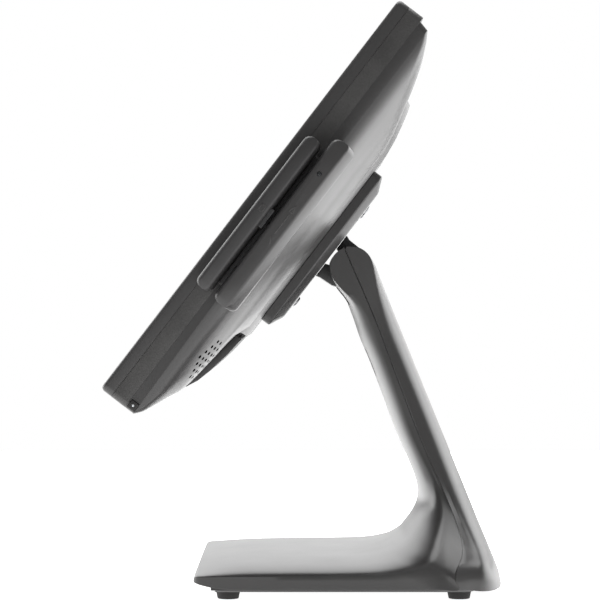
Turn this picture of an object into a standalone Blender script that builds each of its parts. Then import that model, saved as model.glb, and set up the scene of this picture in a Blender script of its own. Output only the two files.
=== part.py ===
"""Countertop touchscreen terminal: a tilting display head on a leaning arm with a broad foot.

Metres, +Z up. The user stands at -Y and looks along +Y, and the card reader is on their right, at +X.
The origin is on the counter, under the middle of the object's box.
Head parts are drawn upright round the tilt axis, and the empty that they hang on leans them back.
"""

import math

import bmesh
import bpy
from mathutils import Matrix, Vector

mm = 0.001
GAP = 0.3 * mm  # clearance between neighbouring pieces

# Placing
READER_OVERHANG = 25 * mm
MIDDLE_X = -READER_OVERHANG / 2  # the stand's middle plane, so that the box is centred on X
MIDDLE_Y = -6.6 * mm  # likewise on Y
AXIS_Y, AXIS_Z = 33.6 * mm, 211.2 * mm  # tilt axis over the counter, in the stand's own Y
RECLINE = math.radians(37.5)  # the screen's lean back from upright
ARM_LEAN = math.radians(22)  # the arm's lean from upright

# Head, seen from the front and from the tilt axis
HEAD_W, HEAD_H = 360 * mm, 295 * mm
HEAD_CORNER = 4.5 * mm
AXIS_BEHIND_GLASS = 76.5 * mm
HEAD_Z = -5 * mm  # the head's middle, measured up the screen from the axis
HEAD_DATUM = -151 * mm  # heights on the head start here, 1.5 mm over its lower edge
BEZEL_T = 8 * mm
FRAME_BACK = 18 * mm
DOME_TOP = 47.5 * mm  # the rear cover's flat top
SHELL_T = 2.4 * mm
GLASS_T = 2.8 * mm
GLASS_RIM = 3 * mm
WINDOW_W, WINDOW_H = 306 * mm, 230 * mm

# Mounting plate and hinge
PLATE = 121 * mm
PLATE_BACK = 61 * mm
VESA = 75 * mm
BARREL_R = 14 * mm
BRACKET_HALF = 20.5 * mm
SHAFT_R = 4.5 * mm
SLOT_HALF = 24.6 * mm

# Stand
STAND_T = 2.5 * mm
EDGE_T = 1.4 * mm  # the shells' wall where crown and side meet
EDGE_Z = 9.2 * mm  # lower edge of the front shell
FOOT_H, FOOT_R, FOOT_TIP_R = 6 * mm, 8 * mm, 6.7 * mm

# Card reader on the head's right side
READER_X = HEAD_W / 2 + 0.5 * mm
READER_OUT = HEAD_W / 2 + READER_OVERHANG


def clear_scene():
    for obj in list(bpy.data.objects):
        bpy.data.objects.remove(obj)


clear_scene()
PARTS = bpy.data.collections.new("touch_terminal")
CUTTERS = bpy.data.collections.new("cutters")
bpy.context.scene.collection.children.link(PARTS)
bpy.context.scene.collection.children.link(CUTTERS)
CUTTERS.hide_render = True


def empty(name, location, parent=None, lean=0.0):
    made = bpy.data.objects.new(name, None)
    PARTS.objects.link(made)
    made.location = location
    made.rotation_euler = (lean, 0, 0)
    made.parent = parent
    return made


TERMINAL = empty("terminal", (MIDDLE_X, MIDDLE_Y, 0))
TILT = empty("tilt_axis", (0, AXIS_Y, AXIS_Z), TERMINAL, -RECLINE)


def material(name, colour, roughness, metallic=0.0):
    made = bpy.data.materials.new(name)
    made.use_nodes = True
    shader = made.node_tree.nodes["Principled BSDF"]
    shader.inputs["Base Color"].default_value = (*colour, 1)
    shader.inputs["Roughness"].default_value = roughness
    shader.inputs["Metallic"].default_value = metallic
    made.diffuse_color = (*colour, 1)
    return made


CASE = material("case_plastic", (0.075, 0.073, 0.073), 0.42)
TEXTURED = material("textured_plastic", (0.105, 0.102, 0.1), 0.6)
STAND_COAT = material("stand_coat", (0.16, 0.157, 0.155), 0.4, 0.3)
GLASS = material("screen_glass", (0.01, 0.01, 0.012), 0.08)
PANEL = material("panel_metal", (0.55, 0.56, 0.57), 0.4, 0.9)
STEEL = material("steel", (0.42, 0.42, 0.43), 0.35, 1.0)
BLACK_STEEL = material("black_steel", (0.03, 0.03, 0.032), 0.45, 0.4)
ALLOY = material("alloy", (0.6, 0.6, 0.61), 0.4, 1.0)
BOARD = material("board", (0.02, 0.12, 0.05), 0.55)
RUBBER = material("rubber", (0.02, 0.02, 0.02), 0.8)
LIGHT_PIPE = material("light_pipe", (0.75, 0.78, 0.8), 0.25)


def add_mesh(name, mesh, look, parent, location=(0, 0, 0), collection=None):
    obj = bpy.data.objects.new(name, mesh)
    (collection or PARTS).objects.link(obj)
    obj.location = location
    obj.parent = parent
    if look:
        mesh.materials.append(look)
    return obj


def mesh_from(name, work, sharp_angle=30):
    bmesh.ops.recalc_face_normals(work, faces=work.faces)
    mesh = bpy.data.meshes.new(name)
    work.to_mesh(mesh)
    work.free()
    mesh.shade_smooth()
    mesh.set_sharp_from_angle(angle=math.radians(sharp_angle))
    return mesh


def skin(name, rings, look, parent, loop=False, caps=(False, False), around=True):
    """A surface through rings of equally many points. Each ring is closed unless around is False."""
    work = bmesh.new()
    rows = [[work.verts.new(p) for p in ring] for ring in rings]
    count = len(rings[0])
    pairs = list(zip(rows, rows[1:]))
    if loop:
        pairs.append((rows[-1], rows[0]))
    for low, high in pairs:
        for i in range(count if around else count - 1):
            j = (i + 1) % count
            work.faces.new((low[i], low[j], high[j], high[i]))
    if caps[0]:
        work.faces.new(list(reversed(rows[0])))
    if caps[1]:
        work.faces.new(rows[-1])
    bmesh.ops.remove_doubles(work, verts=work.verts, dist=0.01 * mm)
    return add_mesh(name, mesh_from(name, work), look, parent)


def rounded_rectangle(half_x, half_z, radius, steps=4):
    """Points (x, z) round a rectangle with round corners, counterclockwise."""
    points = []
    for quarter in range(4):
        side_x = 1 if quarter in (0, 3) else -1
        side_z = 1 if quarter in (0, 1) else -1
        for i in range(steps + 1):
            angle = math.pi / 2 * (quarter + i / steps)
            points.append(
                (
                    side_x * (half_x - radius) + radius * math.cos(angle),
                    side_z * (half_z - radius) + radius * math.sin(angle),
                )
            )
    return points


def upright_stack(name, levels, look, parent, middle=(0, 0), loop=False, caps=(True, True)):
    """Rounded rectangles standing in X and Z, one at each depth y. A level is (y, half_x, half_z, radius)."""
    rings = [
        [(middle[0] + x, y, middle[1] + z) for x, z in rounded_rectangle(half_x, half_z, radius)]
        for y, half_x, half_z, radius in levels
    ]
    return skin(name, rings, look, parent, loop=loop, caps=(False, False) if loop else caps)


def depth(behind_front):
    """The head's y for a distance behind the front of the glass."""
    return behind_front - AXIS_BEHIND_GLASS


def head_z(up):
    """The head's z for a distance up the screen from the head's datum."""
    return HEAD_DATUM + up


def box(name, low, high, look, parent, bevel=0.0, segments=2, collection=None):
    """A box between two corners, with its edges rounded."""
    size = Vector(high) - Vector(low)
    work = bmesh.new()
    bmesh.ops.create_cube(work, size=1, matrix=Matrix.Diagonal((*size, 1)))
    obj = add_mesh(name, mesh_from(name, work), look, parent, (Vector(low) + Vector(high)) / 2, collection)
    if bevel:
        round_edges(obj, bevel, segments)
    return obj


def round_edges(obj, width, segments=2, angle=40):
    bevel = obj.modifiers.new("round_edges", "BEVEL")
    bevel.width = width
    bevel.segments = segments
    bevel.limit_method = "ANGLE"
    bevel.angle_limit = math.radians(angle)


def cylinder(name, radius, ends, look, parent, place=(0, 0), axis="X", sides=24, tip=None, collection=None):
    """A round bar along an axis, between two ends.

    place is the other two coordinates, and tip is the second end's radius.
    """
    length = ends[1] - ends[0]
    turn = {
        "X": Matrix.Rotation(math.pi / 2, 4, "Y"),
        "Y": Matrix.Rotation(-math.pi / 2, 4, "X"),
        "Z": Matrix.Identity(4),
    }[axis]
    work = bmesh.new()
    bmesh.ops.create_cone(
        work,
        cap_ends=True,
        segments=sides,
        radius1=radius,
        radius2=radius if tip is None else tip,
        depth=length,
        matrix=turn,
    )
    centre = list(place)
    centre.insert("XYZ".index(axis), (ends[0] + ends[1]) / 2)
    return add_mesh(name, mesh_from(name, work), look, parent, centre, collection)


def boolean(obj, other, operation):
    join = obj.modifiers.new(other.name, "BOOLEAN")
    join.operation = operation
    join.solver = "EXACT"
    join.object = other


def cut(obj, *cutters):
    """Takes each cutter away from obj."""
    for cutter in cutters:
        cutter.hide_render = True
        cutter.display_type = "WIRE"
        boolean(obj, cutter, "DIFFERENCE")


def merge(obj, *others):
    """Joins others to obj, which then hold no node of their own."""
    for other in others:
        PARTS.objects.unlink(other)
        CUTTERS.objects.link(other)
        other.hide_render = True
        other.display_type = "WIRE"
        boolean(obj, other, "UNION")


def solidify(obj, thickness):
    shell = obj.modifiers.new("wall", "SOLIDIFY")
    shell.thickness = thickness
    shell.offset = -1
    shell.use_even_offset = True
    shell.use_quality_normals = True


def cutter_box(name, low, high, parent):
    return box(name, low, high, None, parent, collection=CUTTERS)


# Head


def front_bezel():
    """The frame round the glass: a rounded front edge, a pocket for the glass and a window."""
    w, h = HEAD_W / 2, HEAD_H / 2
    pocket_w, pocket_h = w - GLASS_RIM, h - GLASS_RIM
    window_w, window_h = WINDOW_W / 2 + 6 * mm, WINDOW_H / 2 + 6 * mm
    inner_w, inner_h = w - 5 * mm, h - 5 * mm
    levels = [
        (depth(BEZEL_T), w, h, HEAD_CORNER),
        (depth(2 * mm), w, h, HEAD_CORNER),
        (depth(0.6 * mm), w - 0.6 * mm, h - 0.6 * mm, HEAD_CORNER - 0.6 * mm),
        (depth(0), w - 2 * mm, h - 2 * mm, HEAD_CORNER - 2 * mm),
        (depth(0), pocket_w, pocket_h, HEAD_CORNER - GLASS_RIM),
        (depth(GLASS_T + GAP), pocket_w, pocket_h, HEAD_CORNER - GLASS_RIM),
        (depth(GLASS_T + GAP), window_w, window_h, 3 * mm),
        (depth(5 * mm), window_w, window_h, 3 * mm),
        (depth(5 * mm), inner_w, inner_h, 1 * mm),
        (depth(BEZEL_T), inner_w, inner_h, 1 * mm),
    ]
    return upright_stack("front_bezel", levels, CASE, TILT, (0, HEAD_Z), loop=True)


def touch_glass():
    inset = GLASS_RIM + GAP
    w, h = HEAD_W / 2 - inset, HEAD_H / 2 - inset
    radius = HEAD_CORNER - inset
    levels = [
        (depth(GLASS_T), w, h, radius),
        (depth(0.4 * mm), w, h, radius),
        (depth(0), w - 0.4 * mm, h - 0.4 * mm, radius - 0.4 * mm),
    ]
    return upright_stack("touch_glass", levels, GLASS, TILT, (0, HEAD_Z))


def mid_frame():
    """The textured band behind the bezel."""
    w, h = HEAD_W / 2, HEAD_H / 2
    wall = 3 * mm
    levels = [
        (depth(FRAME_BACK), w, h, HEAD_CORNER),
        (depth(BEZEL_T + 1 * mm), w, h, HEAD_CORNER),
        (depth(BEZEL_T + GAP), w - 0.5 * mm, h - 0.5 * mm, HEAD_CORNER - 0.5 * mm),
        (depth(BEZEL_T + GAP), w - wall, h - wall, HEAD_CORNER - wall),
        (depth(FRAME_BACK), w - wall, h - wall, HEAD_CORNER - wall),
    ]
    return upright_stack("mid_frame", levels, TEXTURED, TILT, (0, HEAD_Z), loop=True)


# Contours of the rear cover: distance behind the front, lower and upper edge, half width, corner
DOME = [
    (25, -1.5, 289, 180, 4.5),
    (28, 2, 284.5, 178.8, 8),
    (31.5, 9.5, 278, 174.5, 13),
    (35, 18, 270.5, 165, 17),
    (38.5, 25.6, 260, 153, 18),
    (41.5, 48, 249, 140, 16),
    (44, 71, 239.5, 131, 16),
    (46, 77, 231.5, 122, 18),
    (47.5, 81, 222, 112, 20),
]


def upright_ring(y, half_x, half_z, radius, middle_z):
    return [(x, y, middle_z + z) for x, z in rounded_rectangle(half_x, half_z, radius)]


def rear_cover():
    """The domed back: an upright rim, then contours that close on a flat top."""
    w, h = HEAD_W / 2, HEAD_H / 2
    rings = [
        upright_ring(depth(FRAME_BACK + GAP), w - 0.4 * mm, h - 0.4 * mm, HEAD_CORNER, HEAD_Z),
        upright_ring(depth(FRAME_BACK + 1 * mm), w, h, HEAD_CORNER, HEAD_Z),
    ]
    for back, low, high, half_x, corner in DOME:
        half_z, middle = (high - low) / 2 * mm, head_z((low + high) / 2 * mm)
        rings.append(upright_ring(depth(back * mm), half_x * mm, half_z, corner * mm, middle))
    obj = skin("rear_cover", rings, CASE, TILT, caps=(False, True))
    solidify(obj, SHELL_T)
    cut(obj, vent_cutter(), *speaker_cutters(), bay_cutter(), *button_cutter())
    return obj


def vent_cutter():
    """A row of long slots along the head's top edge."""
    slot, rib, count = 44 * mm, 6 * mm, 6
    work = bmesh.new()
    for i in range(count):
        x = (i - (count - 1) / 2) * (slot + rib)
        place = Matrix.Translation((x, depth(29 * mm), head_z(286.5 * mm)))
        bmesh.ops.create_cube(work, size=1, matrix=place @ Matrix.Diagonal((slot, 16 * mm, 3.4 * mm, 1)))
    return add_mesh("vents", mesh_from("vents", work), None, TILT, collection=CUTTERS)


SPEAKER_X, SPEAKER_UP = 149 * mm, 49.5 * mm
SPEAKER_PITCH, SPEAKER_HOLE = 4.5 * mm, 1.7 * mm
SPEAKER_ROWS = (2, 3, 4, 5, 4, 3, 2)


def speaker_cutters():
    """One grille on each side: seven rows of small holes."""
    made = []
    for side, name in ((-1, "speaker_holes_left"), (1, "speaker_holes_right")):
        work = bmesh.new()
        for row, count in enumerate(SPEAKER_ROWS):
            z = head_z(SPEAKER_UP) + (row - 3) * SPEAKER_PITCH
            for i in range(count):
                x = side * (SPEAKER_X + (i - (count - 1) / 2) * SPEAKER_PITCH)
                place = Matrix.Translation((x, depth(40 * mm), z))
                size = Matrix.Diagonal((SPEAKER_HOLE, 16 * mm, SPEAKER_HOLE, 1))
                bmesh.ops.create_cube(work, size=1, matrix=place @ size)
        made.append(add_mesh(name, mesh_from(name, work), None, TILT, collection=CUTTERS))
    return made


BAY_HALF = 98 * mm
BAY_LOW, BAY_HIGH = 26 * mm, 72 * mm


def bay_cutter():
    """The opening over the sockets, which the cable cover closes."""
    return cutter_box(
        "socket_bay",
        (-BAY_HALF - GAP, depth(30 * mm), head_z(BAY_LOW) - GAP),
        (BAY_HALF + GAP, depth(60 * mm), head_z(BAY_HIGH) + GAP),
        TILT,
    )


BUTTON_UP, BUTTON_BACK, BUTTON_SIZE = 2.6 * mm, 21.9 * mm, 5.2 * mm


def button_cutter():
    """A hole for the power button through the rim's right side, by the lower corner."""
    half = BUTTON_SIZE / 2 + GAP
    up = head_z(BUTTON_UP)
    return [
        cutter_box(
            "button_hole",
            (HEAD_W / 2 - 6 * mm, depth(BUTTON_BACK) - half, up - half),
            (HEAD_W / 2 + 4 * mm, depth(BUTTON_BACK) + half, up + half),
            TILT,
        )
    ]


def power_button():
    half = BUTTON_SIZE / 2
    up = head_z(BUTTON_UP)
    return box(
        "power_button",
        (HEAD_W / 2 - 4 * mm, depth(BUTTON_BACK) - half, up - half),
        (HEAD_W / 2 + 1.4 * mm, depth(BUTTON_BACK) + half, up + half),
        RUBBER,
        TILT,
        0.6 * mm,
    )


def prism(name, outline, x_ends, look, parent, collection=None):
    """A side outline of (y, z) points, drawn out along X."""
    work = bmesh.new()
    near, far = ([work.verts.new((x, y, z)) for y, z in outline] for x in x_ends)
    work.faces.new(near)
    work.faces.new(list(reversed(far)))
    for i in range(len(outline)):
        j = (i + 1) % len(outline)
        work.faces.new((near[i], far[i], far[j], near[j]))
    return add_mesh(name, mesh_from(name, work), look, parent, collection=collection)


def head_outline(points):
    """(y, z) of side points that are given as (up from the head's datum, behind its front), in mm."""
    return [(depth(back * mm), head_z(up * mm)) for up, back in points]


def cable_cover():
    """The snap-on lid over the sockets: an arched plate that tapers to its lower end."""
    outer = [(26.2, 38.9), (34, 42.5), (43.4, 44.8), (57.3, 47.2), (71.6, 48.6)]
    inner = [(71.6, 44.2), (57.3, 42.2), (43.4, 39.8), (34, 38), (26.2, 37)]
    return prism("cable_cover", head_outline(outer + inner), (-BAY_HALF, BAY_HALF), CASE, TILT)


SYSTEM_TOP = [(74.6, 50.2), (222, 50.2), (232, 48.9), (242, 46.7), (251.4, 44.2), (255.8, 42.7)]
SYSTEM_UNDER = [(74.6, 46.7), (81, 47.85), (222, 47.85), (232, 46.4), (242, 44.4), (251.4, 41.8), (255.8, 40.4)]


def system_cover():
    """The raised lid on the dome, under the mounting plate. It thins out towards its sides."""
    edge = [(up, back + 0.5) for up, back in SYSTEM_UNDER]
    top = [SYSTEM_TOP[0], (81, 50.2)] + SYSTEM_TOP[1:]
    rings = []
    for x, upper in ((-104, edge), (-72, top), (72, top), (104, edge)):
        outline = head_outline(upper + SYSTEM_UNDER[::-1])
        rings.append([(x * mm, y, z) for y, z in outline])
    return skin("system_cover", rings, CASE, TILT, caps=(True, True))


def lcd_parts():
    upright_box("lcd_panel", (163.2, 126.7), (5.3, 13), PANEL, 1)
    upright_box("lcd_chassis", (172, 137), (13.3, 14.8), STEEL, 3)


def upright_box(name, halves, backs, look, corner, up=None, x=0.0):
    """A plate that stands in the head. Sizes are in mm, and up is its middle over the head's bottom."""
    middle = (x * mm, HEAD_Z if up is None else head_z(up * mm))
    levels = [(depth(back * mm), halves[0] * mm, halves[1] * mm, corner * mm) for back in backs]
    return upright_stack(name, levels, look, TILT, middle)


def electronics():
    upright_box("mainboard", (92, 80), (20, 21.6), BOARD, 2, 160)
    heat_sink()
    upright_box("io_panel", (90, 0.6), (24, 42), STEEL, 0.2, 73.6)
    sockets = (
        ("power_socket", -78, 8, 26, 37),
        ("lan_socket", -52, 8, 26, 38),
        ("usb_socket_left", -26, 7, 26, 33),
        ("usb_socket_right", -4, 7, 26, 33),
        ("serial_socket", 28, 15.5, 26, 36),
        ("video_socket", 70, 15.5, 26, 36),
    )
    for name, x, half, front, back in sockets:
        upright_box(name, (half, 5), (front, back), BLACK_STEEL if "p" in name[:1] else STEEL, 0.6, 67.6, x)
    for name, x in (("speaker_left", -147), ("speaker_right", 147)):
        upright_box(name, (14, 17), (19, 29), BLACK_STEEL, 3, 49.5, x)


def heat_sink():
    """A block of upright fins on the mainboard."""
    fins, pitch = 9, 6 * mm
    low = head_z(150 * mm)
    high = low + 60 * mm
    sink = box("heat_sink", (-27 * mm, depth(22 * mm), low), (27 * mm, depth(25 * mm), high), ALLOY, TILT)
    for i in range(fins):
        x = (i - (fins - 1) / 2) * pitch
        fin = box(
            f"fin_{i}",
            (x - 0.8 * mm, depth(24.5 * mm), low),
            (x + 0.8 * mm, depth(38 * mm), low + 60 * mm),
            None,
            TILT,
        )
        merge(sink, fin)
    return sink


# Card reader


def reader_body(name, ups, backs, look):
    """A bar with rounded ends along the head's right side."""
    middle_up, half_up = (ups[0] + ups[1]) / 2, (ups[1] - ups[0]) / 2
    middle_back, half_back = (backs[0] + backs[1]) / 2, (backs[1] - backs[0]) / 2
    rings = []
    for x, inset in ((187.4, 0), (202.5, 0), (204.3, 0.7), (205, 2.2)):
        radius = (half_back - inset - 0.6) * mm
        ring = rounded_rectangle((half_back - inset) * mm, (half_up - inset) * mm, radius)
        rings.append([(x * mm, depth(middle_back * mm) + y, head_z(middle_up * mm) + z) for y, z in ring])
    return skin(name, rings, look, TILT, caps=(True, True))


def card_reader():
    front = reader_body("reader_front_body", (84, 195), (6.6, 17.9), CASE)
    rear = reader_body("reader_rear_body", (83, 203.5), (20.5, 36.6), CASE)
    base = box(
        "reader_base",
        (READER_X, depth(9 * mm), head_z(92 * mm)),
        (187.1 * mm, depth(35 * mm), head_z(188 * mm)),
        CASE,
        TILT,
        1 * mm,
    )
    low, high = head_z(133 * mm), head_z(147 * mm)
    cut(
        front,
        cutter_box("head_pocket", (192.7 * mm, depth(12 * mm), low), (202 * mm, depth(19 * mm), high), TILT),
    )
    box(
        "read_head",
        (193 * mm, depth(13.4 * mm), low + GAP),
        (201.7 * mm, depth(18.8 * mm), high - GAP),
        STEEL,
        TILT,
        0.5 * mm,
    )
    led_place = (depth(26.5 * mm), head_z(179.7 * mm))
    cut(
        rear,
        cylinder("led_hole", 1.5 * mm, (203 * mm, 206 * mm), None, TILT, led_place, sides=20, collection=CUTTERS),
    )
    cylinder("reader_led", 1.2 * mm, (203.3 * mm, 205.2 * mm), LIGHT_PIPE, TILT, led_place, sides=20)
    return base


# Mounting plate and hinge

PLATE_UP = 149 * mm


def mounting_plate():
    half = PLATE / 2
    levels = [
        (depth(50.5 * mm), half, half, 5 * mm),
        (depth(55.5 * mm), half, half, 5 * mm),
        (depth(59.7 * mm), half - 8.4 * mm, half - 8.4 * mm, 4 * mm),
        (depth(PLATE_BACK), half - 10.5 * mm, half - 10.5 * mm, 3 * mm),
    ]
    plate = upright_stack("mounting_plate", levels, CASE, TILT, (0, head_z(PLATE_UP)))
    for i, (x, z) in enumerate(((-1, -1), (1, -1), (-1, 1), (1, 1)), 1):
        place = (x * VESA / 2, head_z(PLATE_UP) + z * VESA / 2)
        bolt_head(f"plate_screw_{i}", 3.6 * mm, place, (PLATE_BACK + GAP, PLATE_BACK + 1.6 * mm))
    return plate


def bolt_head(name, radius, place, backs):
    """A low round screw head that stands on a plate's back."""
    ends = (depth(backs[0]), depth(backs[1]))
    head = cylinder(name, radius, ends, STEEL, TILT, place, "Y", 20, tip=radius * 0.8)
    recess = cylinder(
        f"{name}_recess",
        radius * 0.4,
        (ends[0] + 0.5 * mm, ends[1] + 1 * mm),
        None,
        TILT,
        place,
        "Y",
        6,
        collection=CUTTERS,
    )
    cut(head, recess)
    return head


def ring_arc(radius, start, stop, steps, centre=(0, 0)):
    """(y, z) points on an arc. Angles are in degrees from +Y towards +Z."""
    points = []
    for i in range(steps + 1):
        angle = math.radians(start + (stop - start) * i / steps)
        points.append((centre[0] + radius * math.cos(angle), centre[1] + radius * math.sin(angle)))
    return points


def hinge_bracket():
    """Carries the plate on the shaft: two webs, a barrel, and a window behind the plate."""
    foot = depth(PLATE_BACK + GAP)
    outline = [(foot, -18 * mm), (-12.5 * mm, -17.2 * mm), (-3 * mm, -16.6 * mm), (1.5 * mm, -15 * mm)]
    outline += ring_arc(BARREL_R, -70, 95, 14)
    outline += [(-12 * mm, 14.2 * mm), (foot, 15.5 * mm)]
    bracket = prism("hinge_bracket", outline, (-BRACKET_HALF, BRACKET_HALF), BLACK_STEEL, TILT)
    before, inner = foot - 1 * mm, -11 * mm
    window = [(before, -8.3 * mm), (inner, -6.5 * mm), (inner, 3.5 * mm), (before, 5.5 * mm)]
    cut(
        bracket,
        prism("window", window, (-30 * mm, 30 * mm), None, TILT, CUTTERS),
        cylinder("bracket_bore", SHAFT_R + GAP, (-30 * mm, 30 * mm), None, TILT, collection=CUTTERS),
    )
    return bracket


def hinge_hardware():
    """The shaft, its friction washers and its nuts stay with the stand."""
    axis = (AXIS_Y, AXIS_Z)
    cylinder("hinge_shaft", SHAFT_R, (-36 * mm, 36 * mm), STEEL, TERMINAL, axis)
    rings = (
        ("friction_washer_left", -24.2, -20.9, 10, BLACK_STEEL, 24),
        ("friction_washer_right", 20.9, 24.2, 10, BLACK_STEEL, 24),
        ("hinge_nut_left", -34, -28.6, 8, STEEL, 6),
        ("hinge_nut_right", 28.6, 34, 8, STEEL, 6),
    )
    for name, start, stop, radius, look, sides in rings:
        ring = cylinder(name, radius * mm, (start * mm, stop * mm), look, TERMINAL, axis, sides=sides)
        bore = cylinder(
            f"{name}_bore",
            SHAFT_R + GAP,
            ((start - 5) * mm, (stop + 5) * mm),
            None,
            TERMINAL,
            axis,
            collection=CUTTERS,
        )
        cut(ring, bore)


# Stand

# The seam between the shells, from the counter up: y, z and half width, in mm
SEAM = [
    (99.5, 9.2, 119),
    (97, 15, 120),
    (97.2, 20, 118),
    (101.5, 28, 107),
    (102.5, 36, 92),
    (100.3, 46, 78),
    (95, 60.5, 66),
    (86, 81.5, 58),
    (76, 105.5, 52.5),
    (66.7, 130, 49.5),
    (58.5, 152, 47),
    (51.9, 170, 45.6),
    (46.2, 184, 45),
    (41.5, 195, 45),
    (37.5, 204, 45),
    (34.6, 210.5, 45),
    (32.3, 216, 45),
    (30.5, 220.2, 45),
    (29.3, 222.6, 45),
]
# At each seam point, the front shell's middle (y, z), its edge (y, z) and the edge's half width
FRONT = [
    (60, 30.4, 80, 22.5, 118.5),
    (66.5, 34.5, 84.5, 26.5, 115),
    (71, 40.3, 88.5, 31.2, 106),
    (75.3, 46.8, 91.5, 37.5, 93),
    (78.3, 53.5, 93.4, 45, 81),
    (79.3, 60, 94, 53, 72),
    (78, 69, 91.5, 64.5, 63),
    (72, 84.7, 83.5, 82, 57),
    (64.1, 102.9, 73.5, 102.5, 52),
    (55.2, 127, 64.3, 128.5, 49),
    (46.2, 150.5, 56, 151, 46.8),
    (40, 165.2, 49, 168.5, 45.4),
    (35.5, 178.5, 41.5, 183.5, 45),
    (31, 189.5, 34.5, 190.5, 45),
    (24.5, 198.5, 25.6, 199, 45),
    (20.9, 205.3, 20.9, 205.3, 45),
    (19.8, 213.5, 19.8, 213.5, 45),
    (22.8, 220, 22.8, 220, 45),
    (28.3, 224.2, 28.3, 224.2, 45),
]
# The base ahead of the seam, from its front edge: middle (y, z), edge (y, z), lower edge y, half width
BASE = [
    (-66.7, 9.2, -66.7, 9.2, -66.7, 116),
    (-66.7, 16.3, -66.7, 15.4, -66.7, 116),
    (-65, 18.2, -65, 17, -65, 118.6),
    (-61, 19.2, -61, 17.3, -61, 120),
    (-41, 22.5, -41, 17.3, -41, 120),
    (-10, 24.2, -10, 17.3, -10, 120),
    (28, 25, 36, 17.4, 42, 120),
    (44, 26, 58, 18, 68, 120),
    (53, 27.8, 70, 19.7, 86, 120),
]
# The rear shell, at each seam point
REAR = [
    (132.6, 5.2, 109, 8, 112),
    (130.8, 13, 110.6, 14, 113.5),
    (128.4, 19.2, 111.3, 20.3, 112),
    (125.4, 26.5, 111, 27, 102),
    (122, 35, 108.6, 35, 87.5),
    (117.5, 46, 104, 46, 74),
    (111.8, 60.3, 98.3, 60, 63),
    (103.3, 81.3, 90, 81.5, 56.5),
    (93.5, 105.5, 80.7, 105.5, 52),
    (83.7, 129.8, 70.8, 129.8, 49),
    (74.7, 152, 61.5, 152, 46.8),
    (67.4, 170, 54, 170.3, 45.4),
    (61.7, 184, 50.8, 184, 45),
    (57.3, 195, 48.8, 196, 45),
    (53.4, 204.5, 48.2, 205.5, 45),
    (49.6, 213.8, 47.4, 213, 45),
    (45.5, 218.8, 45.2, 219, 45),
    (39, 224, 39, 224, 45),
    (30.7, 225, 30.7, 225, 45),
]
BASE_FRONT = BASE[0][0]
CROWN_STEPS = 6


def crown(middle, edge, half):
    """Half a cross-section, from the middle to the edge, which it meets square on."""
    points = []
    for i in range(CROWN_STEPS + 1):
        angle = math.pi / 2 * i / CROWN_STEPS
        across, fall = math.sin(angle) ** 0.9, math.cos(angle) ** 0.9
        y = edge[0] + (middle[0] - edge[0]) * fall
        z = edge[1] + (middle[1] - edge[1]) * fall
        points.append((half * across, y, z))
    return points


def shell_ring(middle, edge, half, seam, inward):
    """A closed cross-section of a shell: out along the skin, back along its inner face. In mm."""
    wall = STAND_T / mm
    outer = crown(middle, edge, half) + [seam]
    inner_middle = (middle[0] + wall * inward[0], middle[1] + wall * inward[1])
    lip = EDGE_T / mm
    inner_edge = (edge[0] + lip * inward[0], edge[1] + lip * inward[1])
    inner = crown(inner_middle, inner_edge, half - wall)
    inner.append((seam[0] - wall, max(seam[1], BASE_FRONT + wall), seam[2]))
    half_ring = list(reversed(outer)) + [(-x, y, z) for x, y, z in outer[1:]]
    back = [(-x, y, z) for x, y, z in reversed(inner)] + inner[1:]
    return [(x * mm, y * mm, z * mm) for x, y, z in half_ring + back]


def inward_normals(path, side):
    """Unit vectors off a path of (y, z) points, to its right when side is 1."""
    normals = []
    for i in range(len(path)):
        before, after = path[max(i - 1, 0)], path[min(i + 1, len(path) - 1)]
        step = Vector((after[0] - before[0], after[1] - before[1])).normalized()
        normals.append((side * step[1], -side * step[0]))
    return normals


def front_shell():
    """The base's top and the arm's front in one skin, from the base's front edge up to the arm's head."""
    middles = [row[:2] for row in BASE + FRONT]
    inward = inward_normals(middles, 1)
    rings = []
    for row, normal in zip(BASE, inward):
        seam = (row[5], row[4], EDGE_Z / mm)
        rings.append(shell_ring(row[:2], row[2:4], row[5], seam, normal))
    for row, seam, normal in zip(FRONT, SEAM, inward[len(BASE) :]):
        rings.append(shell_ring(row[:2], row[2:4], row[4], (seam[2], seam[0], seam[1]), normal))
    shell = skin("stand_front_shell", rings, STAND_COAT, TERMINAL, caps=(True, True))
    axis = (AXIS_Y, AXIS_Z)
    ends = (-SLOT_HALF, SLOT_HALF)
    slot = (8.2 * mm, 14 * mm), (158 * mm, 139.5 * mm)
    cut(
        shell,
        cylinder("front_swing", 18.4 * mm, ends, None, TERMINAL, axis, sides=32, collection=CUTTERS),
        cutter_box("front_slot", (-SLOT_HALF, 0, 186.8 * mm), (SLOT_HALF, 36 * mm, 202 * mm), TERMINAL),
        cutter_box(
            "cable_slit_left", (-slot[0][1], 20 * mm, slot[1][1]), (-slot[0][0], 60 * mm, slot[1][0]), TERMINAL
        ),
        cutter_box(
            "cable_slit_right", (slot[0][0], 20 * mm, slot[1][1]), (slot[0][1], 60 * mm, slot[1][0]), TERMINAL
        ),
    )
    return shell


def rear_shell():
    """The arm's back, down to the counter behind the base."""
    inward = inward_normals([row[:2] for row in REAR], -1)
    rings = []
    for row, seam, normal in zip(REAR, SEAM, inward):
        rings.append(shell_ring(row[:2], row[2:4], row[4], (seam[2], seam[0] + 0.45, seam[1]), normal))
    shell = skin("stand_rear_shell", rings, STAND_COAT, TERMINAL, caps=(True, True))
    ends = (-SLOT_HALF, SLOT_HALF)
    cut(
        shell,
        cylinder("rear_swing", 14.8 * mm, ends, None, TERMINAL, (AXIS_Y, AXIS_Z), sides=32, collection=CUTTERS),
        cutter_box("rear_slot", (-SLOT_HALF, 20 * mm, 217.5 * mm), (SLOT_HALF, 60 * mm, 230 * mm), TERMINAL),
    )
    return shell


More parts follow.
